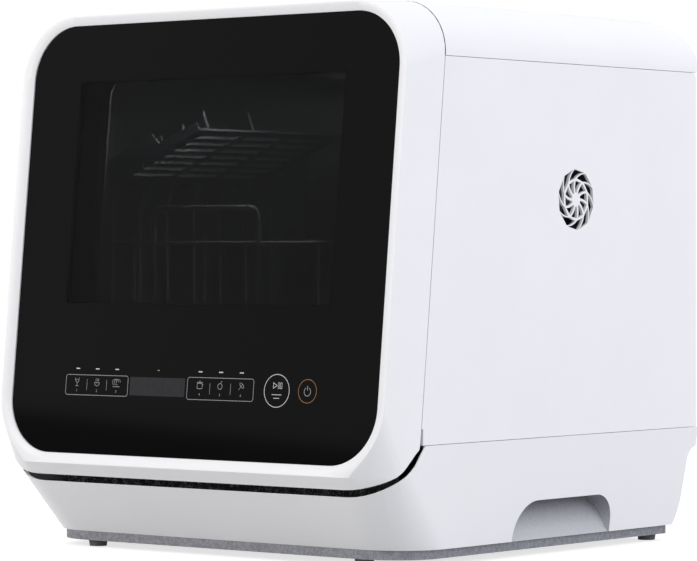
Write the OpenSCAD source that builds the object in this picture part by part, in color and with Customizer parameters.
// Countertop dishwasher with a drop-down glass door, a wire basket that slides out and a water tank.
// Origin: centre of the footprint on the surface it stands on. +Z is up and the door faces -Y.
// The front leans back, so door parts are outlines drawn in X and Z and cut by two leaning planes.

/* [Body] */
// Width over the side panels
body_w = 420; // [410:1:440]
// Depth from the foremost edge of the door to the rear of the top cover
body_d = 434; // [424:1:450]
// Height from the surface to the top cover
body_h = 445; // [440:1:460]
// Radius of the rounded long edges of the top
top_round = 45; // [40:1:48]
// Radius of the rounded rear edge of the top
rear_round = 40; // [30:1:44]
// Height of the top cover's rounded part above its seam
top_cover_h = 45; // [45:1:50]
// How far the base and the top cover reach behind the rear panel
rear_over = 4; // [3:0.5:5]
// Angle that the front leans back
front_lean = 6; // [5:0.5:7]
// Wall of the moulded covers
shell_wall = 2.5; // [2:0.1:3]
// Thickness of the side and rear panels
panel_wall = 2.5; // [2:0.1:3]
// Open seam between the door and the cabinet
seam_gap = 0.8; // [0.6:0.1:2]

/* [Base] */
// Height of the rubber feet
foot_h = 5.4; // [4:0.1:8]
// Radius of the rubber feet
foot_r = 8; // [6:0.5:10]
// Height of the grey tray under the base
tray_h = 7.6; // [6:0.1:10]
// Height of the white base moulding
base_h = 83.3; // [80:0.1:86]
// How far the bottom of the chin sits behind the foremost edge
chin_back = 46; // [42:1:50]
// How far each side of the base slopes in to its bottom edge
base_taper = 10.9; // [8:0.1:13]
// How far the rear of the base slopes in to its bottom edge
base_rear_in = 25; // [22:1:28]
// Radius of the front corners of the base, seen from above
base_corner = 40; // [36:1:44]
// Step from the base moulding in to the tray
tray_step = 4.5; // [3:0.1:6]
// Depth of the carry recesses at their top
carry_depth = 24; // [18:1:26]
// Height of the carry recesses
carry_h = 32; // [28:1:36]

/* [Door] */
// Thickness of the door, square to its face
door_t = 43.5; // [42:0.5:46]
// Height of the ring's lower edge, the foremost point of the door
ring_z = 72.5; // [72:0.5:74]
// Distance from the ring's lower edge down to the door's bottom edge
strip_h = 10; // [8:0.5:11]
// Open gap between the door's bottom edge and the lip of the base
lip_gap = 6.5; // [6:0.5:8]
// How much narrower the door's face is than the body, each side
face_in = 4; // [3:0.5:5]
// Outer corner radius of the white ring
ring_round = 55; // [50:1:58]
// Flat land of the white ring
ring_land = 3; // [2:0.5:4]
// Width of the ring's bevel
ring_bevel = 6.5; // [5:0.5:8]
// Depth of the bevel
bevel_depth = 3.5; // [2.5:0.5:4]
// Thickness of the glass panel
glass_t = 4; // [3:0.5:5]
// Height at which the door's slanting underside meets its rear
under_z = 93.5; // [91:0.5:96]
// How far the slanting underside sags below a straight line
under_sag = 2.7; // [1.5:0.1:4]
// Distance of the hinge axis behind the foremost edge
hinge_in = 17; // [16:0.5:18]
// Height of the hinge axis above the ring's lower edge
hinge_up = 6; // [5:0.5:7]
// Radius of the hinge pins
hinge_pin_r = 2.5; // [2:0.1:3]
// Distance of the window's sides from the sides of the body
window_side_in = 68; // [64:1:80]
// Height of the window's lower edge
window_z0 = 205; // [200:1:215]
// Distance of the window's upper edge below the top of the body
window_top_in = 57; // [56:1:75]

/* [Tub] */
// Room beside the tub for insulation and the fan, from its inner face to the side of the body
tub_side_room = 38; // [36:1:42]
// Room under the tub floor, above the top edge of the base
tub_floor_room = 13.7; // [12:0.1:16]
// Room above the tub ceiling, to the top of the body
tub_top_room = 45; // [43:1:55]
// Room behind the tub for the water tank, to the rear of the body
tub_rear_room = 67; // [65:1:72]
// Wall of the tub
tub_wall = 1.2; // [1:0.1:1.8]
// Thickness of the frame round the tub's mouth
frame_t = 10; // [9:0.5:11]

/* [Basket] */
// Gap between the basket's side wires and the tub
basket_side_gap = 14; // [13:1:18]
// Height of the basket floor above the tub floor
basket_up = 31; // [30:0.5:33]
// Height of the basket's top rail above its floor
basket_h = 113; // [100:1:120]
// Length of the basket, front to back
basket_l = 242; // [230:1:244]
// Thickness of the basket's main wires
wire_d = 3.6; // [3:0.1:4]
// Thickness of the basket's thin wires
thin_d = 2.6; // [2.2:0.1:3]
// Distance that the basket slides out
basket_travel = 130; // [110:1:132]
// Tilt of the cup shelf
shelf_tilt = 22.6; // [18:0.1:26]
// Length of the cup shelf along its tilt
shelf_l = 108; // [100:1:112]
// Depth of the cup shelf, front to back
shelf_d = 190; // [160:1:200]

/* [Vent] */
// Height of the swirl vent's centre
vent_z = 289.5; // [270:0.5:300]
// Distance of the swirl vent's centre behind the middle of the body
vent_y = 36; // [20:1:50]
// Outer radius of the swirl vent's openings
vent_r = 25; // [22:0.5:27]
// Number of openings in each ring of the vent
vent_count = 10; // [8:1:12]
// Width of the bars between the openings
vent_bar = 1.9; // [1.6:0.1:2.4]

/* [Spray arm and fan] */
// Gap between the spray arm's tips and the tub's sides
arm_gap = 34; // [32:1:50]
// Radius of the spray arm's bearing
arm_bore_r = 6; // [5:0.5:7]
// Radius of the drying fan's rotor
rotor_r = 23; // [20:0.5:24]
// Number of the drying fan's blades
rotor_blades = 7; // [5:1:9]

/* [Fits] */
// Radial clearance of a turning pin or shaft
run_fit = 0.05; // [0.02:0.01:0.09]
// Clearance between a moving part and what it passes
move_gap = 0.4; // [0.3:0.05:0.6]

/* [Hidden] */

$fn = 48;
hull_fn = 32;
wire_fn = 8;
eps = 0.01;
far = 600;

hw = body_w / 2;
front_edge = -body_d / 2;
rear_face = body_d / 2;
panel_y = rear_face - rear_over;
tray_z = foot_h;
base_z = foot_h + tray_h;
base_top = base_z + base_h;
cover_z = body_h - top_cover_h;
window_hw = hw - window_side_in;
window_z1 = body_h - window_top_in;
tub_hw = hw - tub_side_room;
tub_z0 = base_top + tub_floor_room;
tub_z1 = body_h - tub_top_room;
tub_back = rear_face - tub_rear_room;
basket_hw = tub_hw - basket_side_gap;
basket_z0 = tub_z0 + basket_up;
basket_z1 = basket_z0 + basket_h;
arm_r = tub_hw - arm_gap;
lean_rise = tan(front_lean);
door_z = ring_z - strip_h;
lip_z = door_z - lip_gap;
face_top = body_h - 1.3;
hinge_y = front_edge + hinge_in;
hinge_z = ring_z + hinge_up;

// Y of the plane that lies d behind the door's face, at height z
function lean_y(d, z) = front_edge + d / cos(front_lean) + (z - ring_z) * lean_rise;

// Y of the chin's surface at height z
function chin_y(z) = front_edge + chin_back * (ring_z - z) / (ring_z - base_z);

// Points from p to q on a curve that sags below the straight line, lowest near its middle or later
function sagging(p, q, sag, late = 1) = [for (k = [0:12]) let (t = k / 12, v = q - p)
    p + t * v + sag * pow(sin(180 * pow(t, late)), 2) * [v.y, -v.x] / norm(v)];

// ---- shared shapes ----

// Upright outline with its own radius for the lower and for the upper corners
module outline(half, z0, z1, r0, r1) {
    translate([-half, z0 + r0]) square([2 * half, z1 - r1 - z0 - r0]);
    translate([-half + r0, z0]) square([2 * (half - r0), z1 - r1 - z0]);
    translate([-half + r1, z0 + r0]) square([2 * (half - r1), z1 - z0 - r0]);
    for (s = [-1, 1]) {
        translate([s * (half - r0), z0 + r0]) circle(r0);
        translate([s * (half - r1), z1 - r1]) circle(r1);
    }
}

// Extrudes an outline of X and Z along Y
module along_y(y0, y1) translate([0, y1, 0]) rotate([90, 0, 0]) linear_extrude(y1 - y0) children();

// Extrudes an outline of Y and Z along X
module along_x(x0, x1) translate([x0, 0, 0]) rotate([90, 0, 90]) linear_extrude(x1 - x0) children();

// Space between two planes parallel to the door's face, d0 and d1 behind it
module lean_space(d0, d1) translate([0, front_edge, ring_z]) rotate([-front_lean, 0, 0])
    translate([-far / 2, d0, -far / 2]) cube([far, d1 - d0, 2 * far]);

// An outline of X and Z as a leaning plate from depth d0 to depth d1 behind the door's face
module lean_plate(d0, d1) intersection() {
    along_y(front_edge - 40, 0) children();
    lean_space(d0, d1);
}

module mirrored(left) mirror([left ? 1 : 0, 0, 0]) children();

// Round bar between two points
module rod(p, q, d, sides = wire_fn) {
    v = q - p;
    translate(p) rotate([0, acos(v.z / norm(v)), atan2(v.y, v.x)]) cylinder(d = d, h = norm(v), $fn = sides);
}

// Outer form of door, base and cabinet, with every face moved in by t
module outer_form(t = 0) {
    chin_in = t * 1.27;
    hull() {
        lean_plate(t, t + eps) outline(hw - face_in - t, ring_z + t, face_top - t, ring_round - t,
            ring_round - t, $fn = hull_fn);
        lean_plate(door_t, door_t + eps) outline(hw - t, base_top, body_h - t, 1, top_round - t, $fn = hull_fn);
        translate([0, 0, base_z]) linear_extrude(eps)
            outline(hw - base_taper - t, front_edge + chin_back + chin_in, rear_face - 0.8 * base_rear_in - t,
                base_corner + 6 - t, 4, $fn = hull_fn);
        translate([0, 0, ring_z]) linear_extrude(eps)
            outline(hw - face_in + 0.9 - t, front_edge + chin_in, rear_face - t, base_corner - t, 3, $fn = hull_fn);
        translate([-hw + t, 0, base_top]) cube([2 * (hw - t), rear_face - t, 20]);
    }
}

// Side view of the door, moved in by t. Its underside slants up to the rear, so that it clears the base
door_edge = [chin_y(door_z), door_z];
module door_side_view(t = 0) offset(delta = -t) polygon(concat([[front_edge - far, door_z]],
    sagging(door_edge, [lean_y(door_t - seam_gap, under_z), under_z], under_sag),
    [[lean_y(door_t - seam_gap, under_z) + far, under_z + far], [front_edge - far, under_z + far]]));

// Side view of what the door's room takes out of the base
lip_edge = [chin_y(lip_z), lip_z];
lip_end = [lean_y(door_t, base_top) + 6.3, base_top];
module lip_side_view() polygon(concat([[front_edge - 20, lip_z]], sagging(lip_edge, lip_end, under_sag + 0.5, 1.5),
    [[lip_end.x, base_top + 20], [front_edge - 20, base_top + 20]]));

// Side view of the base, whose rear steps in under the rear panel in a hollow curve
step_z = base_z + 0.8 * base_h;
waist_z = base_z + 0.65 * base_h;
waist_in = rear_over + 8.5;
sole_z = base_z + 0.2 * base_h;
function rear_curve(z) = z > step_z ? 0 :
    z > waist_z ? waist_in * sqrt(1 - pow((z - waist_z) / (step_z - waist_z), 2)) :
    waist_in + 0.105 * (waist_z - z) + (z > sole_z ? 0 :
    (base_rear_in - waist_in - 0.105 * (waist_z - base_z)) * pow((sole_z - z) / (sole_z - base_z), 1.6));
module base_side_view(t = 0) polygon(concat([[front_edge - 10, base_z - 5], [front_edge - 10, base_top + 5],
    [rear_face - t, base_top + 5]],
    [for (k = [0:8]) let (z = waist_z + (step_z - waist_z) * cos(90 * k / 8)) [rear_face - t - rear_curve(z), z]],
    [for (k = [1:9]) let (z = waist_z - k * (waist_z - base_z) / 9) [rear_face - t - rear_curve(z), z]],
    [[rear_face - t - base_rear_in, base_z - 5]]));

// ---- base ----

foot_places = [[hw - 66, front_edge + 58.4], [hw - 29, rear_face - 37]];
module feet() color("#1c1c1e")
    for (s = [-1, 1], p = foot_places) translate([s * p.x, p.y, 0]) {
        cylinder(r1 = foot_r - 0.8, r2 = foot_r, h = foot_h);
    }

module tray_outline(t = 0) outline(hw - base_taper - tray_step - t, front_edge + chin_back + 0.5 + t,
    rear_face - base_rear_in - t, base_corner + 4 - t, 4 - min(t, 2));
tray_floor = 3;
module base_tray() color("#8f8f93") difference() {
    translate([0, 0, tray_z]) linear_extrude(tray_h) tray_outline();
    translate([0, 0, tray_z + tray_floor]) linear_extrude(tray_h) tray_outline(3);
    for (x = [-100:20:100]) translate([x - 2.5, 40, 0]) cube([5, 70, tray_z + tray_floor + 1]);
}

// Carry recess: its back wall comes out to the surface at the bottom edge
carry_y0 = -38;
carry_y1 = 98;
carry_r0 = 31;
carry_r1 = 22;
module carry_outline(g) {
    top = base_z + carry_h;
    translate([carry_y0 + carry_r0, base_z - 1]) square([carry_y1 - carry_y0 - carry_r0 - carry_r1, carry_h + 1 + g]);
    translate([carry_y0 - g, base_z - 1]) square([carry_y1 - carry_y0 + 2 * g, carry_h + 1 - carry_r0]);
    translate([carry_y1 - carry_r1, base_z - 1]) square([carry_r1 + g, carry_h + 1 - carry_r1]);
    translate([carry_y0 + carry_r0, top - carry_r0]) circle(carry_r0 + g);
    translate([carry_y1 - carry_r1, top - carry_r1]) circle(carry_r1 + g);
}
carry_foot = 1.5;
side_rise = (base_taper - face_in + 0.9) * carry_h / (ring_z - base_z);
carry_lean = atan((carry_depth - carry_foot - side_rise) / carry_h);
module carry_space(g = 0) intersection() {
    along_x(hw - 60, hw + 20) carry_outline(g);
    translate([hw - base_taper - carry_foot, 0, base_z]) rotate([0, -carry_lean, 0])
        translate([-g, -far / 2, -40]) cube([far, far, far]);
}

// Niches in the rear of the base, so that hoses and cable leave within its depth
niche_y = 186;
niche_z0 = 22;
niche_z1 = 68;
niches = [[36 - hw, 128 - hw], [hw - 84, hw - 38]];
module rear_niches(g = 0) for (n = niches) translate([n[0] - g, niche_y - g, niche_z0 - g])
    cube([n[1] - n[0] + 2 * g, 60, niche_z1 - niche_z0 + 2 * g]);
base_flange = 11;
lip_edge_t = 0.8;
rebate_h = 3;
rear_ledge_y = panel_y - panel_wall - 2;
module rear_ledge() translate([-hw, rear_ledge_y, base_top - shell_wall]) cube([2 * hw, 40, shell_wall + 5]);
module base_shell() color("#f2f2f4") difference() {
    intersection() {
        outer_form();
        translate([-far / 2, -far / 2, base_z]) cube([far, far, base_h]);
        along_x(-hw - 5, hw + 5) base_side_view();
    }
    difference() {
        intersection() {
            outer_form(shell_wall);
            translate([-far / 2, -far / 2, base_z + shell_wall]) cube([far, far, base_h]);
            along_x(-hw - 5, hw + 5) base_side_view(shell_wall);
        }
        for (s = [0, 1]) mirrored(s == 1) carry_space(shell_wall);
        rear_niches(shell_wall);
        rear_ledge();
    }
    rear_niches();
    along_y(niche_y - 10, niche_y + 10) {
        translate(inlet_at) circle(inlet_r + move_gap);
        translate(drain_at) circle(drain_r + move_gap);
        translate(gland_at) circle(gland_r + move_gap);
    }
    translate([0, 0, base_z - 1]) linear_extrude(shell_wall + 2)
        outline(hw - base_taper - base_flange - 20, front_edge + chin_back + base_flange,
            rear_face - base_rear_in - base_flange, base_corner - base_flange, 6);
    for (s = [0, 1]) mirrored(s == 1) carry_space();
    along_x(-hw - 5, hw + 5) lip_side_view();
    // the wall is rebated inside, so that its edge along the door's gap looks thin
    intersection() {
        outer_form(lip_edge_t);
        along_x(-hw - 5, hw + 5) translate([0, -rebate_h]) lip_side_view();
    }
}

// ---- deck that carries the tub ----

deck_t = 1.5;
deck_z = base_top - deck_t;
deck_front = lean_y(door_t, deck_z) + 10;
deck_back = rear_ledge_y - 0.5;
cradle_x = tub_hw - 30;
baffle_hw = hw - 30;
feed_y = 165;
hose_d = 14;
tray_top = tray_z + tray_floor;
module chassis_deck() color("#a9adb1") difference() {
    union() {
        translate([-hw + shell_wall + 2, deck_front, deck_z])
            cube([2 * (hw - shell_wall - 2), deck_back - deck_front, deck_t]);
        for (x = [-cradle_x, cradle_x], y = [-110, 90]) translate([x - 15, y, deck_z])
            cube([30, 20, tub_z0 - tub_wall - deck_z]);
        for (s = [-1, 1], y = [front_edge + 92, rear_face - 97]) translate([s * (hw - 60), y, tray_top])
            cylinder(r = 6, h = deck_z - tray_top);
        translate([-baffle_hw, deck_front, base_z + shell_wall + 0.2])
            cube([2 * baffle_hw, deck_t, deck_z - base_z - shell_wall - 0.2]);
    }
    translate([sump_x, sump_y, deck_z - 1]) cylinder(r = 56, h = 3);
    translate([0, 0, deck_z - 1]) cylinder(r = 26, h = 3);
    translate([inlet_at.x, feed_y, deck_z - 1]) cylinder(d = hose_d + 2, h = 3);
    for (s = [-1, 1]) translate([s * ear_x - ear_t / 2 - 0.2, deck_front - 5, ear_low - 0.2])
        cube([ear_t + 0.4, 30, deck_z - ear_low + 0.2]);
}

// ---- side panels with the swirl vent ----

vent_hub_r = 5.8;
vent_ring_r = 16.5;
vent_swirl = 34;
function vent_angle(r) = r < vent_ring_r ? -14 * pow((r - vent_hub_r) / (vent_ring_r - vent_hub_r), 1.4) :
    -14 - vent_swirl * (r - vent_ring_r) / (vent_r - vent_ring_r);
function vent_edge(k, side, r) = let (a = 360 / vent_count * (k + (side > 0 ? 0 : 1)) + vent_angle(r)
    + side * vent_bar / 2 / r * 57.3) [r * cos(a), r * sin(a)];
module vent_opening(k, r0, r1) {
    steps = 6;
    polygon(concat([for (i = [0:steps]) vent_edge(k, 1, r0 + (r1 - r0) * i / steps)],
        [for (i = [steps:-1:0]) vent_edge(k, -1, r0 + (r1 - r0) * i / steps)]));
}
module swirl_vent() translate([vent_y, vent_z]) for (k = [0:vent_count - 1]) {
    vent_opening(k, vent_hub_r, vent_ring_r - vent_bar / 2);
    vent_opening(k, vent_ring_r + vent_bar / 2, vent_r);
}

panel_gap = 0.4;
rear_return = 12;
module side_panel() difference() {
    union() {
        along_x(hw - panel_wall, hw) polygon([[lean_y(door_t, base_top), base_top + panel_gap],
            [lean_y(door_t, cover_z), cover_z], [panel_y - 3, cover_z], [panel_y, cover_z - 5],
            [panel_y, base_top + panel_gap]]);
        translate([hw - rear_return, panel_y - panel_wall, base_top + panel_gap])
            cube([rear_return - panel_wall, panel_wall, cover_z - base_top - panel_gap]);
    }
    along_x(hw - 20, hw + 1) {
        translate([lean_y(door_t, base_top) - 5, base_top - 5]) square([8, 18]);
    }
}
module side_panel_left() color("#ececf1") mirrored(true) side_panel();
module side_panel_right() color("#ececf1") difference() {
    side_panel();
    along_x(hw - 5, hw + 1) swirl_vent();
}

// ---- top cover ----

module top_form(t) intersection() {
    along_y(front_edge, rear_face + 10) outline(hw - t, cover_z - 60, body_h - t, 1, top_round - t);
    along_x(-hw, hw) {
        translate([front_edge, cover_z - 60]) square([body_d - rear_round, body_h - t - cover_z + 60]);
        translate([front_edge, cover_z - 60]) square([body_d - t, body_h - rear_round - cover_z + 60]);
        translate([rear_face - rear_round, body_h - rear_round]) circle(rear_round - t);
    }
    lean_space(door_t - 2 * t, far);
}
lid_x1 = hw - top_round - 9;
lid_x0 = lid_x1 - 72;
lid_barrel_r = 3;
lid_y1 = rear_face - rear_round - 6;
lid_y0 = lid_y1 - 42;
lid_tail = 3.5;
lid_swing = 5.9;
module top_cover() color("#f4f4f6") difference() {
    top_form(0);
    top_form(shell_wall);
    translate([-far / 2, -far / 2, cover_z + panel_gap - far]) cube([far, far, far]);
    translate([lid_x0 - move_gap, lid_y0 - move_gap, body_h - 10])
        cube([lid_x1 - lid_x0 + 2 * move_gap, lid_y1 + lid_swing - lid_y0 + move_gap, 20]);
}

// ---- rear panel ----

inlet_at = [60 - hw, 45];
drain_at = [106 - hw, 45];
gland_at = [hw - 61, 45];
inlet_r = 13.2;
drain_r = 9;
gland_r = 8;
module rear_panel() color("#e4e4e8") difference() {
    translate([-hw + rear_return + panel_gap, panel_y - panel_wall, base_top + panel_gap])
        cube([2 * (hw - rear_return - panel_gap), panel_wall, cover_z - base_top - panel_gap]);
    along_y(panel_y - 10, panel_y + 1) {
        for (x = [-60:12:60]) translate([x - 2, base_top + 12]) square([4, 40]);
    }
}
screw_z = [base_top + 14, (base_top + cover_z) / 2, cover_z - 12];
module rear_screws() color("#9da0a4") for (s = [-1, 1], z = screw_z) translate([s * (hw - 6), panel_y, z])
    rotate([-90, 0, 0]) difference() {
        cylinder(r1 = 3.6, r2 = 2.4, h = 1.6);
        translate([0, 0, 0.8]) cube([4, 0.9, 2], center = true);
    }

// ---- tub, its front frame and seal ----

frame_d0 = door_t + 4;
frame_d1 = frame_d0 + frame_t;
tub_round = 18;
mouth_round = 20;
mouth_hw = tub_hw - 3;
mouth_z0 = tub_z0 + 9;
mouth_z1 = tub_z1 - 3;
arm_seat_r = 16;
sump_x = 78;
sump_y = 62;
sump_r = 46;
module tub() color("#c9ccd0") difference() {
    intersection() {
        union() {
            along_y(front_edge, tub_back + tub_wall)
                outline(tub_hw + tub_wall, tub_z0 - tub_wall, tub_z1 + tub_wall, tub_round, tub_round);
            lean_plate(frame_d1, frame_d1 + tub_wall)
                outline(tub_hw + 14, tub_z0 - tub_wall, tub_z1 + 14, tub_round, tub_round + 10);
        }
        lean_space(frame_d1, far);
    }
    along_y(front_edge - 10, tub_back)
        outline(tub_hw, tub_z0, tub_z1, tub_round - tub_wall, tub_round - tub_wall);
    translate([0, 0, tub_z0 - 10]) cylinder(r = arm_seat_r, h = 20);
    translate([sump_x, sump_y, tub_z0 - 10]) cylinder(r = sump_r, h = 20);
    translate([0, 0, tub_z1 - 5]) cylinder(r = nozzle_r, h = 20);
}
module tub_frame() color("#eef0f2") difference() {
    lean_plate(frame_d0, frame_d1)
        outline(hw - max(panel_wall, shell_wall), base_top, body_h - shell_wall, 1, top_round - shell_wall);
    lean_plate(frame_d0 - 1, frame_d1 + 1) outline(mouth_hw, mouth_z0, mouth_z1, mouth_round, mouth_round);
    along_y(front_edge, 0) {
        translate([-latch_hw - 3, latch_z - 6]) square([2 * latch_hw + 6, 20]);
        for (s = [-1, 1]) translate([s * (hw - 5) - 8, base_top - 1]) square([16, 15]);
    }
}
seal_w = 8;
module seal_ring(d0, w) difference() {
    lean_plate(d0, frame_d0) outline(mouth_hw + 2 + w, mouth_z0 - 2 - w, mouth_z1 + 2 + w, mouth_round + 2 + w,
        mouth_round + 2 + w);
    lean_plate(d0 - 1, frame_d0 + 1)
        outline(mouth_hw + 2, mouth_z0 - 2, mouth_z1 + 2, mouth_round + 2, mouth_round + 2);
}
module door_seal() color("#3a3b3d") {
    seal_ring(frame_d0 - 2, seal_w);
    seal_ring(door_t - seam_gap + 0.4, 3);
}

// ---- wash system under the tub ----

hub_low = tub_z0 - 22;
hose_z = hub_low - 12;
pump_z = hose_z - 24;
port_z = pump_z;
sump_z = port_z - 12;
sump_low_r = 32;
module sump() color("#5c6066") translate([sump_x, sump_y, 0]) {
    rotate_extrude() polygon([[0, sump_z], [sump_low_r, sump_z], [sump_r, sump_z + 26], [sump_r, tub_z0],
        [sump_r - 2.5, tub_z0], [sump_r - 2.5, sump_z + 27], [sump_low_r - 1, sump_z + 2.5], [0, sump_z + 2.5]]);
    rotate_extrude() translate([sump_r - 0.5, tub_z0 - tub_wall - 3]) square([7, 3]);
    for (s = [0, 180]) rotate(s) translate([s == 0 ? -8 : 0, -sump_r - 14, port_z]) rotate([-90, 0, 0])
        cylinder(r = 9, h = 14 + sump_r - sump_low_r - 4);
}
filter_r = 30;
module filter_cup() color("#d8dadd") translate([sump_x, sump_y, 0]) difference() {
    union() {
        translate([0, 0, sump_z + 2.5]) cylinder(r = filter_r, h = tub_z0 + 2 - sump_z - 2.5);
        translate([0, 0, tub_z0]) cylinder(r = sump_r + 4, h = 2);
    }
    translate([0, 0, sump_z + 5]) cylinder(r = filter_r - 2, h = 80);
    for (k = [0:11]) rotate(k * 30) translate([filter_r - 6, -2, sump_z + 12]) cube([12, 4, tub_z0 - sump_z - 24]);
    for (k = [0:17]) rotate(k * 20) translate([sump_r - 9, 0, tub_z0 - 1]) cylinder(r = 2, h = 5, $fn = 16);
}
arm_z0 = tub_z0 + 8;
arm_h = 12;
module spray_hub() color("#6b6f75") difference() {
    union() {
        translate([0, 0, hub_low]) cylinder(r = arm_seat_r - 4, h = tub_z0 - hub_low);
        translate([0, 0, tub_z0 - tub_wall - 3]) cylinder(r = arm_seat_r + 5, h = 3);
        translate([0, 0, tub_z0 - tub_wall]) cylinder(r = arm_seat_r, h = tub_wall);
        translate([0, 0, tub_z0]) cylinder(r = arm_seat_r - 4, h = arm_z0 - tub_z0 - move_gap);
        translate([0, 0, tub_z0]) cylinder(r = arm_bore_r, h = arm_z0 + arm_h + 1 - tub_z0);
        translate([0, 0, arm_z0 + arm_h + move_gap]) cylinder(r = arm_bore_r + 2.5, h = 3);
    }
    translate([0, 0, hub_low - 1]) cylinder(r = arm_bore_r - 2, h = arm_z0 + arm_h - hub_low - 6);
}
pump_y = -40;
module wash_pump() color("#3f4247") translate([-62, pump_y, pump_z]) {
    rotate([0, 90, 0]) cylinder(r = 29, h = 52);
    translate([52, 0, 0]) rotate([0, 90, 0]) cylinder(r = 34, h = 20);
    translate([72, 0, 0]) rotate([0, 90, 0]) cylinder(r = 10, h = 10);
    translate([62, 0, hose_z - pump_z]) rotate([-90, 0, 0]) cylinder(r = 8.5, h = -pump_y - 13);
    for (x = [8, 40]) translate([x, -20, tray_top - pump_z]) cube([6, 40, pump_z - tray_top - 20]);
}
drain_y = 150;
module drain_pump() color("#4a4d52") translate([sump_x, drain_y, 0]) {
    translate([0, 0, tray_top]) cylinder(r = 17, h = 24);
    translate([0, 0, tray_top + 24]) cylinder(r = 22, h = 30);
}
module flow_heater() color("#b9bcc0") translate([90 - hw, 60, 0]) {
    translate([0, 0, tray_top]) cylinder(r = 26, h = 10);
    translate([0, 0, tray_top + 10]) cylinder(r = 20, h = 44);
    for (k = [0:3]) translate([0, 0, tray_top + 16 + 9 * k]) rotate_extrude() translate([21, 0]) circle(3.2, $fn = 20);
}
module bend(r, d, a) rotate_extrude(angle = a) translate([r, 0]) circle(d = d, $fn = 24);
module hoses() color("#26282b") {
    // from the wash pump up into the spray hub
    translate([0, -13, hose_z]) rotate([-90, 0, 0]) cylinder(d = hose_d, h = 1);
    translate([0, -12, hub_low]) rotate([90, 0, 90]) rotate(-90) bend(hub_low - hose_z, hose_d, 90);
    // from the sump back to the wash pump
    translate([20, pump_y, pump_z]) rotate([0, 90, 0]) cylinder(d = hose_d, h = 32);
    translate([52, pump_y + 18, pump_z]) rotate(-90) bend(18, hose_d, 90);
    translate([70, pump_y + 18, pump_z]) rotate([-90, 0, 0]) cylinder(d = hose_d, h = sump_y - sump_r - 14 - pump_y - 18);
    // from the sump to the drain pump, and on to the drain connector
    translate([sump_x, sump_y + sump_r + 14, port_z]) rotate([-90, 0, 0])
        cylinder(d = hose_d, h = drain_y - 21 - sump_y - sump_r - 14);
    translate([sump_x - 21, drain_y, drain_at.y]) rotate([0, -90, 0])
        cylinder(d = hose_d, h = sump_x - 21 - drain_at.x - 18);
    translate([drain_at.x + 18, drain_y + 18, drain_at.y]) rotate(180) bend(18, hose_d, 90);
    translate([drain_at.x, drain_y + 18, drain_at.y]) rotate([-90, 0, 0]) cylinder(d = hose_d, h = 3);
    // from the inlet connector up to the tank
    translate([inlet_at.x, feed_y + 14, inlet_at.y + 14]) rotate([90, 0, 90]) rotate(180) bend(14, hose_d, 90);
    translate([inlet_at.x, feed_y, inlet_at.y + 14]) cylinder(d = hose_d, h = tank_z0 - inlet_at.y - 14);
}

// ---- water tank and filling neck ----

tank_z0 = base_top + 1;
tank_z1 = tub_z1 - 6;
tank_hw = tub_hw - 7;
tank_y0 = tub_back + tub_wall + 3;
tank_y1 = panel_y - panel_wall - 4;
tank_wall = 2.5;
neck_wall = 2;
module water_tank() color("#d9e4ec") difference() {
    union() {
        along_y(tank_y0, tank_y1) outline(tank_hw, tank_z0, tank_z1, 14, 14);
        for (k = [-1:1]) translate([k * (tank_hw - 45) - 5, tank_y1, tank_z0 + 20])
            cube([10, panel_y - panel_wall - tank_y1, tank_z1 - tank_z0 - 40]);
    }
    along_y(tank_y0 + tank_wall, tank_y1 - tank_wall)
        outline(tank_hw - tank_wall, tank_z0 + tank_wall, tank_z1 - tank_wall, 12, 12);
    translate([lid_x0 + 6, tank_y0 + tank_wall, tank_z1 - 5]) cube([lid_x1 - lid_x0 - 12, lid_y1 - tank_y0 - 6, 10]);
}
lid_axis_z = body_h - shell_wall - 2;
lid_pin_r = 1.5;
ear_in = 1.5;
neck_back = lid_y1 - lid_barrel_r - 4;
module lid_pin_hole(r, over) translate([lid_x0 - over, lid_y1, lid_axis_z]) rotate([0, 90, 0])
    cylinder(r = r, h = lid_x1 - lid_x0 + 2 * over);
module fill_neck() color("#2f3236") difference() {
    union() {
        translate([lid_x0 - 8, lid_y0 - 6, body_h - shell_wall - 3])
            cube([lid_x1 - lid_x0 + 16, neck_back - lid_y0 + 6, 3]);
        translate([lid_x0 + 2, lid_y0 + 2, tub_z1 + tub_wall + 2])
            cube([lid_x1 - lid_x0 - 4, neck_back - lid_y0 - 2, body_h - shell_wall - tub_z1 - tub_wall - 2]);
        translate([lid_x0 + 2, tank_y0, tank_z1])
            cube([lid_x1 - lid_x0 - 4, neck_back - tank_y0, tub_z1 + tub_wall + 4 - tank_z1]);
        for (x = [lid_x0 - 4.5, lid_x1 + 0.5]) translate([x, neck_back - 1, body_h - shell_wall - 6])
            cube([4, lid_y1 + 4 - neck_back, 6]);
        lid_pin_hole(lid_pin_r, 4);
    }
    translate([lid_x0 + 2 + neck_wall, lid_y0 + 2 + neck_wall, tub_z1 + tub_wall + 2 + neck_wall])
        cube([lid_x1 - lid_x0 - 4 - 2 * neck_wall, neck_back - lid_y0 - 2 - 2 * neck_wall, 60]);
    translate([lid_x0 + 2 + neck_wall, tank_y0 + neck_wall, tank_z1 - 1])
        cube([lid_x1 - lid_x0 - 4 - 2 * neck_wall, neck_back - tank_y0 - 2 * neck_wall, 14]);
}
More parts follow.
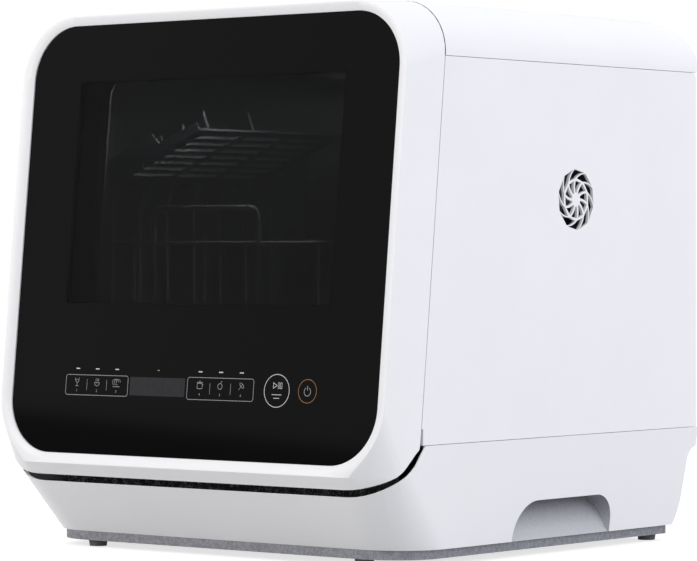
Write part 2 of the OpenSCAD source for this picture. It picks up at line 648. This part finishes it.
module fill_lid() color("#f4f4f6") difference() {
    union() {
        translate([lid_x0, lid_y0, body_h - shell_wall + 0.3])
            cube([lid_x1 - lid_x0, lid_y1 + lid_tail - lid_y0, shell_wall - 0.3]);
        translate([lid_x0 + ear_in, lid_y1, lid_axis_z]) rotate([0, 90, 0])
            cylinder(r = lid_barrel_r, h = lid_x1 - lid_x0 - 2 * ear_in);
    }
    lid_pin_hole(lid_pin_r + run_fit, 1);
    translate([(lid_x0 + lid_x1) / 2, lid_y0, body_h + 8]) rotate([0, 90, 0]) cylinder(r = 9, h = 24, center = true);
}

// ---- rear fittings ----

module inlet_connector() color("#e8e8ea") translate([inlet_at.x, niche_y, inlet_at.y]) rotate([-90, 0, 0])
    difference() {
        union() {
            translate([0, 0, feed_y + 14 - niche_y]) cylinder(r = inlet_r - 3, h = niche_y - feed_y - 14);
            translate([0, 0, -shell_wall]) cylinder(r = inlet_r - 1, h = shell_wall + 1);
            cylinder(r = inlet_r, h = 11);
            translate([0, 0, -shell_wall - 3]) cylinder(r = inlet_r + 3, h = 3);
        }
        translate([0, 0, -15]) cylinder(r = inlet_r - 5, h = 40);
    }
module drain_connector() color("#3c3e42") translate([drain_at.x, niche_y, drain_at.y]) rotate([-90, 0, 0])
    difference() {
        union() {
            translate([0, 0, drain_y + 21 - niche_y]) cylinder(r = drain_r - 1, h = niche_y + 1 - drain_y - 21);
            cylinder(r = drain_r, h = 13);
            translate([0, 0, -shell_wall - 3]) cylinder(r = drain_r + 3, h = 3);
        }
        translate([0, 0, -20]) cylinder(r = drain_r - 2.5, h = 40);
    }
module cord_gland() color("#222326") translate([gland_at.x, niche_y, gland_at.y]) rotate([-90, 0, 0])
    difference() {
        union() {
            translate([0, 0, -8]) cylinder(r = gland_r, h = 8);
            cylinder(r = gland_r + 3, h = 2.5);
            translate([0, 0, 2.5]) cylinder(r1 = gland_r + 1, r2 = gland_r - 1, h = 5);
        }
        translate([0, 0, -9]) cylinder(r = 3.6, h = 30);
    }
module power_board() color("#2c5b3a") translate([-66, 56, tray_top]) {
    for (x = [4, 76], y = [4, 66]) translate([x, y, 0]) cylinder(r = 3, h = 8);
    translate([0, 0, 8]) cube([80, 70, 1.6]);
    translate([8, 10, 9.6]) cube([24, 30, 22]);
    translate([40, 12, 9.6]) cube([18, 18, 14]);
    for (y = [40, 54]) translate([60, y, 9.6]) cylinder(r = 5, h = 20);
}

// ---- basket rails and ceiling nozzle ----

wheel_r = 5.4;
rail_in = 11;
rail_front = front_edge + 72;
rail_l = tub_back - 5 - rail_front;
wheel_z = basket_z0 - 2.5;
module basket_rail() difference() {
    translate([tub_hw - rail_in, rail_front, wheel_z - wheel_r - move_gap - 2])
        cube([rail_in, rail_l, 2 * (wheel_r + move_gap + 2)]);
    translate([tub_hw - rail_in - 1, rail_front - 1, wheel_z - wheel_r - move_gap])
        cube([rail_in - 1, rail_l + 2, 2 * (wheel_r + move_gap)]);
}
module basket_rail_left() color("#dfe2e6") mirrored(true) basket_rail();
module basket_rail_right() color("#dfe2e6") basket_rail();

nozzle_r = 14;
module ceiling_nozzle() color("#d3d6da") difference() {
    union() {
        translate([0, 0, tub_z1 - 7]) cylinder(r1 = 17, r2 = 24, h = 7);
        translate([0, 0, tub_z1]) cylinder(r = nozzle_r, h = 12);
    }
    translate([0, 0, tub_z1 - 4]) cylinder(r = nozzle_r - 3, h = 30);
    for (k = [0:5]) rotate(60 * k) translate([9, 0, tub_z1 - 9]) cylinder(r = 1.4, h = 10, $fn = 16);
}

wall = 3;
glass_in = ring_land + ring_bevel;
glass_hw = hw - face_in - glass_in;
glass_z0 = ring_z + glass_in - 0.9;
glass_z1 = face_top - glass_in + 1.5;
glass_round = ring_round - glass_in;
glass_d0 = bevel_depth + 1;
glass_d1 = glass_d0 + glass_t;
ledge = 6;
ledge_d1 = glass_d1 + 4;
rear_lip = 8;
liner_t = 2.5;
liner_d1 = door_t - seam_gap;
liner_d0 = liner_d1 - liner_t;
lip_hw = hw - 10;
liner_hw = hw - 7;

// ---- door hinge ----

ear_x = hw - 38;
ear_t = 8;
ear_eye_r = 6;
slot_t = 12;
slot_gap = 1.5;
ear_low = hinge_z - 5;
module hinge_ear() difference() {
    along_x(ear_x - ear_t / 2, ear_x + ear_t / 2) {
        translate([hinge_y, hinge_z]) circle(ear_eye_r);
        translate([hinge_y, ear_low]) square([60, 10]);
        translate([deck_front + 3, ear_low]) square([hinge_y + 60 - deck_front - 3, deck_z - ear_low]);
    }
    translate([ear_x - ear_t, hinge_y, hinge_z]) rotate([0, 90, 0]) cylinder(r = hinge_pin_r + run_fit, h = 2 * ear_t);
}
module hinge_ear_left() color("#8d9196") mirrored(true) hinge_ear();
module hinge_ear_right() color("#8d9196") hinge_ear();

cheek_t = 5;
block_top = hinge_z + 17;
rear_step = door_t - seam_gap - rear_lip;
module hinge_block() difference() {
    intersection() {
        along_x(ear_x - slot_t / 2 - cheek_t, ear_x + slot_t / 2 + cheek_t) intersection() {
            union() {
                translate([front_edge + 12, door_z]) square([40, glass_z0 - 1.6 - door_z]);
                polygon([[lean_y(ledge_d1 + 0.1, door_z), door_z], [lean_y(ledge_d1 + 0.1, block_top), block_top],
                    [front_edge + 60, block_top], [front_edge + 60, door_z]]);
            }
            door_side_view(wall + 0.05);
        }
        lean_space(3, rear_step);
    }
    translate([ear_x - slot_t / 2, front_edge, door_z - 10]) cube([slot_t, 80, hinge_z + ear_eye_r + slot_gap + 10 - door_z]);
    translate([ear_x - 20, hinge_y, hinge_z]) rotate([0, 90, 0]) cylinder(r = hinge_pin_r + 0.02, h = 40);
}
module hinge_block_left() color("#7c8085") mirrored(true) hinge_block();
module hinge_block_right() color("#7c8085") hinge_block();
module hinge_pins() color("#b5b8bc") for (s = [-1, 1])
    translate([s * ear_x, hinge_y, hinge_z]) rotate([0, 90, 0])
        cylinder(r = hinge_pin_r, h = slot_t + 2 * cheek_t - 1, center = true);

// ---- door ----

module ear_slots() for (s = [-1, 1])
    translate([s * ear_x - slot_t / 2, hinge_y - ear_eye_r - slot_gap, door_z - 10])
        cube([slot_t, 60, hinge_z + ear_eye_r + slot_gap + 10 - door_z]);
module door_frame() color("#f4f4f6") difference() {
    intersection() {
        outer_form();
        along_x(-far / 2, far / 2) door_side_view();
        lean_space(-20, door_t - seam_gap);
    }
    hull() {
        lean_plate(-1, 0) outline(glass_hw + ring_bevel, glass_z0 - ring_bevel, glass_z1 + ring_bevel,
            glass_round + ring_bevel, glass_round + ring_bevel);
        lean_plate(bevel_depth - eps, bevel_depth) outline(glass_hw + 0.3, glass_z0 - 0.3, glass_z1 + 0.3,
            glass_round, glass_round);
    }
    lean_plate(0, glass_d1) outline(glass_hw + 0.3, glass_z0 - 0.3, glass_z1 + 0.3, glass_round, glass_round);
    lean_plate(0, ledge_d1 + 1) outline(glass_hw - ledge, glass_z0 + ledge, glass_z1 - ledge,
        glass_round - ledge, glass_round - ledge);
    intersection() {
        outer_form(wall);
        along_x(-far / 2, far / 2) door_side_view(wall);
        union() {
            lean_space(ledge_d1, door_t - seam_gap - rear_lip);
            intersection() {
                lean_space(wall, door_t - seam_gap - rear_lip);
                translate([-far / 2, -far / 2, 0]) cube([far, far, glass_z0 - 1.5]);
            }
        }
    }
    lean_plate(door_t - seam_gap - rear_lip - 1, door_t)
        outline(lip_hw, under_z + 6, body_h - 10, 12, top_round - 10);
    lean_plate(liner_d0, door_t)
        outline(liner_hw + 0.2, under_z + 4, body_h - 7, 14, top_round - 6);
    ear_slots();
}
module door_glass() color("#101113") lean_plate(glass_d0, glass_d1)
    outline(glass_hw, glass_z0, glass_z1, glass_round, glass_round);

panel_z0 = 118;
panel_z1 = 156;
module display_module() color("#2b3d33") {
    lean_plate(glass_d1, glass_d1 + 6) outline(window_hw + 8, panel_z0, panel_z1, 3, 3);
    lean_plate(glass_d1 + 6, glass_d1 + 8) outline(window_hw + 18, panel_z0 - 6, panel_z1 + 6, 4, 4);
}
disp_x0 = -20;
disp_x1 = 120;
disp_z0 = 128;
disp_z1 = 186;
module dispenser_hole(g) translate([disp_x0 - g, disp_z0 - g])
    square([disp_x1 - disp_x0 + 2 * g, disp_z1 - disp_z0 + 2 * g]);
module door_liner() color("#dcdfe2") difference() {
    lean_plate(liner_d0, liner_d1) outline(liner_hw, under_z + 4.2, body_h - 7.2, 14, top_round - 6);
    lean_plate(liner_d0 - 1, liner_d1 + 1) outline(window_hw + 1, window_z0 - 1, window_z1 + 1, 10, 10);
    lean_plate(liner_d0 - 1, liner_d1 + 1) dispenser_hole(0);
    along_y(front_edge, 0) translate([-latch_hw - 0.2, latch_z - 3.2]) square([2 * latch_hw + 0.4, 6.4]);
}
module inner_window() color("#9fb4bd") lean_plate(liner_d0 - 3, liner_d0)
    outline(window_hw + 7, window_z0 - 7, window_z1 + 7, 14, 14);

// Dispenser: a powder cup in a body that fills the hole in the liner, under a lid that slides sideways
lid_w = 62;
lid_h = 48;
lid_slide = 60;
lid_start = disp_x0 + 6;
lid_track = 1;
module dispenser_body() color("#e9ebed") difference() {
    union() {
        lean_plate(liner_d0 - 22, liner_d1) dispenser_hole(0);
        lean_plate(liner_d0 - 3, liner_d0) dispenser_hole(5);
    }
    lean_plate(liner_d0 - 20, door_t + 5) translate([lid_start + 6, disp_z0 + 10]) square([lid_w - 12, lid_h - 10]);
    lean_plate(liner_d1 - lid_track - 2.4, door_t + 5) translate([lid_start - 2, disp_z0 + 3])
        square([lid_w + lid_slide + 5, lid_h + 4]);
}
module dispenser_lid() color("#b9c4cf") {
    lean_plate(liner_d1 - lid_track - 2, liner_d1 - lid_track) translate([lid_start, disp_z0 + 5]) square([lid_w, lid_h]);
    lean_plate(liner_d1 - lid_track, liner_d1) translate([lid_start + lid_w - 9, disp_z0 + 12]) square([4, lid_h - 14]);
}

// Latch: a hook on the door that runs into a catch behind the frame
latch_hw = 9;
latch_z = body_h - 21;
module latch_hook() color("#8d9196") difference() {
    union() {
        lean_plate(liner_d0 - 4, frame_d1 + 4) translate([-latch_hw, latch_z - 3]) square([2 * latch_hw, 6]);
        lean_plate(liner_d0 - 4, liner_d0) translate([-latch_hw - 6, latch_z - 8]) square([2 * latch_hw + 12, 16]);
    }
    lean_plate(frame_d1 - 4, frame_d1 + 1) translate([-latch_hw + 3, latch_z - 5]) square([2 * latch_hw - 6, 10]);
}
module latch_catch() color("#4a4d52") difference() {
    lean_plate(frame_d1, frame_d1 + 9) translate([-latch_hw - 8, latch_z - 9]) square([2 * latch_hw + 16, 24]);
    lean_plate(frame_d1 - 1, frame_d1 + 7) translate([-latch_hw - 3, latch_z - 6]) square([2 * latch_hw + 6, 18]);
}

// ---- drying fan behind the vent ----

duct_wall = 2;
duct_x0 = tub_hw + tub_wall + 1;
duct_x1 = hw - panel_wall;
fan_room = duct_x1 - duct_x0;
module at_vent(x) translate([x, vent_y, vent_z]) rotate([0, 90, 0]) children();
module fan_duct() color("#2b2d30") difference() {
    at_vent(duct_x0) cylinder(r = vent_r + 1.5 + duct_wall, h = duct_x1 - duct_x0);
    at_vent(duct_x0 + duct_wall) cylinder(r = vent_r + 1.5, h = duct_x1 - duct_x0);
}
motor_h = 0.27 * fan_room;
module fan_motor() color("#55585d") {
    at_vent(duct_x0 + duct_wall) cylinder(r = 11, h = motor_h);
    at_vent(duct_x0 + duct_wall + motor_h) cylinder(r = 1.5, h = 15);
}
rotor_x = duct_x0 + duct_wall + motor_h + 1;
rotor_h = 0.36 * fan_room;
module fan_rotor() color("#1f2124") difference() {
    union() {
        at_vent(rotor_x) cylinder(r = 8, h = rotor_h);
        intersection() {
            at_vent(rotor_x) cylinder(r = rotor_r, h = rotor_h);
            for (k = [0:rotor_blades - 1]) at_vent(rotor_x + rotor_h / 2) rotate(360 / rotor_blades * k)
                translate([rotor_r / 2, 0, 0]) rotate([38, 0, 0]) cube([rotor_r + 4, 1.4, 2 * rotor_h], center = true);
        }
    }
    at_vent(rotor_x - 1) cylinder(r = 1.5 + run_fit, h = rotor_h + 2);
}

// ---- spray arm ----

jet_r = [for (k = [0:3]) arm_r * (0.275 + 0.2 * k)];
module arm_wing() hull() {
    translate([10, 0, arm_z0 + 1]) cylinder(r = 16, h = arm_h - 2, $fn = hull_fn);
    translate([arm_r - 10, 7, arm_z0 + 2.5]) cylinder(r = 10, h = arm_h - 5, $fn = hull_fn);
}
module spray_arm() color("#a8adb3") difference() {
    union() {
        for (a = [0, 180]) rotate(a + 32) {
            arm_wing();
            for (r = jet_r) translate([r, 3, arm_z0 + arm_h - 3]) cylinder(r = 4, h = 2.6, $fn = 20);
        }
        translate([0, 0, arm_z0]) cylinder(r = 15, h = arm_h);
    }
    translate([0, 0, arm_z0 - 1]) cylinder(r = arm_bore_r + run_fit, h = arm_h + 2);
    for (a = [0, 180], r = jet_r) rotate(a + 32) translate([r, 3, arm_z0 + arm_h - 4])
        cylinder(r = 1.6, h = 6, $fn = 16);
}

// ---- basket ----

basket_front = front_edge + 75;
basket_back = basket_front + basket_l;
floor_count = 10;
floor_pitch = 2 * basket_hw / floor_count;
cross_count = 7;
mid_z = (basket_z0 + basket_z1) / 2 - 8;
side_top = tub_z1 - 93;
side_kink = side_top - 25;
kink_in = 8;
module rail_ring(z, d, in = 0) {
    x = basket_hw - in;
    rod([-x, basket_front, z], [x, basket_front, z], d);
    rod([-x, basket_back, z], [x, basket_back, z], d);
    for (s = [-1, 1]) rod([s * x, basket_front, z], [s * x, basket_back, z], d);
}
module basket_frame() color("#c3c6ca") {
    touch = (wire_d + thin_d) / 2 - 0.5;
    rail_ring(basket_z0, wire_d);
    rail_ring(basket_z1, wire_d);
    rail_ring(mid_z, wire_d);
    for (k = [0:floor_count - 1]) {
        x = -basket_hw + floor_pitch * (k + 0.5);
        rod([x, basket_front, basket_z0 + touch], [x, basket_back, basket_z0 + touch], thin_d);
    }
    for (k = [0:cross_count - 1]) {
        y = wire_y(k);
        rod([-basket_hw, y, basket_z0 + 0.3], [basket_hw, y, basket_z0 + 0.3], thin_d);
        rod([basket_hw + 0.3, y, basket_z0], [basket_hw + 0.3, y, basket_z1], thin_d);
        rod([-basket_hw - 0.3, y, basket_z0], [-basket_hw - 0.3, y, side_kink], thin_d);
        rod([-basket_hw - 0.3, y, side_kink - 0.5], [-basket_hw + kink_in, y, side_top + 0.5], thin_d);
    }
    translate([-basket_hw + kink_in, basket_front + 3, side_top]) rotate([-90, 0, 0])
        cylinder(d = wire_d, h = basket_l - 6);
    for (k = [0:3]) {
        x = -basket_hw + 40 + (2 * basket_hw - 80.5) / 3 * k;
        rod([x, basket_front + 0.4, basket_z0], [x, basket_front + 0.4, basket_z1 + 7], thin_d);
        rod([x, basket_back - 0.4, basket_z0], [x, basket_back - 0.4, basket_z1], thin_d);
    }
}
tine_h = 62;
tine_rows = [1.2 * floor_pitch, 2.9 * floor_pitch];
tine_count = 9;
module basket_tines() color("#c3c6ca") for (x = tine_rows) {
    z = basket_z0 + (wire_d + thin_d) / 2 - 0.5;
    rod([x, basket_front + 12, z], [x, basket_back - 12, z], thin_d);
    for (k = [0:tine_count - 1]) {
        y = basket_front + 24 + (basket_l - 48) * k / (tine_count - 1);
        rod([x, y, z], [x + 7, y + 5, z + tine_h], thin_d);
    }
}
hoop_x0 = -92;
hoop_x1 = 23;
hoop_z = basket_z1 + 29;
hoop_r = 10;
hoop_d = 4.6;
module basket_handle() color("#c3c6ca") translate([0, basket_front - wire_d / 2 - hoop_d / 2 + 0.4, 0]) {
    for (x = [hoop_x0, hoop_x1]) translate([x, 0, basket_z0 - 1]) cylinder(d = hoop_d, h = hoop_z - hoop_r - basket_z0 + 1);
    translate([hoop_x0 + hoop_r, 0, hoop_z]) rotate([0, 90, 0]) cylinder(d = hoop_d, h = hoop_x1 - hoop_x0 - 2 * hoop_r);
    translate([hoop_x0 + hoop_r, 0, hoop_z - hoop_r]) rotate([90, 0, 0]) rotate([0, 0, 90]) bend(hoop_r, hoop_d, 90);
    translate([hoop_x1 - hoop_r, 0, hoop_z - hoop_r]) rotate([90, 0, 0]) bend(hoop_r, hoop_d, 90);
}
wheel_places = [rail_front + wheel_r + 2 + basket_travel, basket_back - 10];
wheel_w = 7;
module basket_wheels() color("#e6e8ea") for (s = [-1, 1], y = wheel_places) translate([s * (tub_hw - 6.5), y, wheel_z])
    rotate([0, 90, 0]) {
        cylinder(r = wheel_r, h = wheel_w, center = true);
        translate([0, 0, -s * (wheel_w / 2 + 1)]) cylinder(r = 3, h = 5, center = true);
    }

// ---- cup shelf, hinged on the basket's left side ----

shelf_y0 = basket_front + 6;
eye_r = 4.2;
module shelf_section(y0, y1) translate([0, y1, 0]) rotate([90, 0, 0]) linear_extrude(y1 - y0) children();
module cup_shelf() color("#aeb3b9") translate([-basket_hw + kink_in, 0, side_top]) difference() {
    union() {
        rotate([0, -shelf_tilt, 0]) {
            difference() {
                shelf_section(shelf_y0, shelf_y0 + shelf_d) translate([3.2, -1]) square([shelf_l - 3.2, 2]);
                for (k = [0:6], j = [0:2]) translate([14 + 13 * k, shelf_y0 + 12 + (shelf_d - 16) / 3 * j, -3])
                    cube([7, (shelf_d - 16) / 3 - 8, 6]);
            }
            for (y = [shelf_y0, shelf_y0 + shelf_d - 2]) shelf_section(y, y + 2)
                polygon([[2, -1], [-3, 17], [58, 18], [62, 7], [shelf_l, 7], [shelf_l, -1]]);
            for (y = eye_places) shelf_section(y - 5, y + 5) circle(eye_r);
            for (y = eye_places) shelf_section(y - 5, y + 5) translate([0, -1]) square([6, 2]);
            for (k = [0:6]) translate([10.5 + 13 * k, shelf_y0 + 1, -8]) cylinder(d = 2, h = 8, $fn = wire_fn);
            for (k = [0:3], y = [37, 95]) translate([10.5 + 26 * k, shelf_y0 + y, 0])
                cylinder(d = 2.4, h = 26, $fn = wire_fn);
        }
        // heels that rest on the basket's side wires
        for (k = [1, 3, 5]) shelf_section(wire_y(k) - 3, wire_y(k) + 3)
            polygon([[-2, -12], [1, -12], [7, 3.5], [3.6, 1]]);
    }
    translate([0, shelf_y0 - 1, 0]) rotate([-90, 0, 0]) cylinder(r = wire_d / 2 + run_fit, h = shelf_d + 2);
}
function wire_y(k) = basket_front + basket_l * (k + 0.5) / cross_count;
eye_places = [wire_y(0.5), wire_y(2.5), wire_y(4.5)];

// ---- the pieces ----

feet();
base_tray();
base_shell();
chassis_deck();
side_panel_left();
side_panel_right();
top_cover();
rear_panel();
rear_screws();
tub();
tub_frame();
door_seal();
sump();
filter_cup();
spray_hub();
wash_pump();
drain_pump();
flow_heater();
hoses();
water_tank();
fill_neck();
inlet_connector();
drain_connector();
cord_gland();
power_board();
basket_rail_left();
basket_rail_right();
ceiling_nozzle();
hinge_ear_left();
hinge_ear_right();
latch_catch();
fan_duct();
fan_motor();
door_frame();
door_glass();
display_module();
door_liner();
inner_window();
dispenser_body();
hinge_block_left();
hinge_block_right();
hinge_pins();
latch_hook();
dispenser_lid();
basket_frame();
basket_tines();
basket_handle();
basket_wheels();
cup_shelf();
spray_arm();
fan_rotor();
fill_lid();
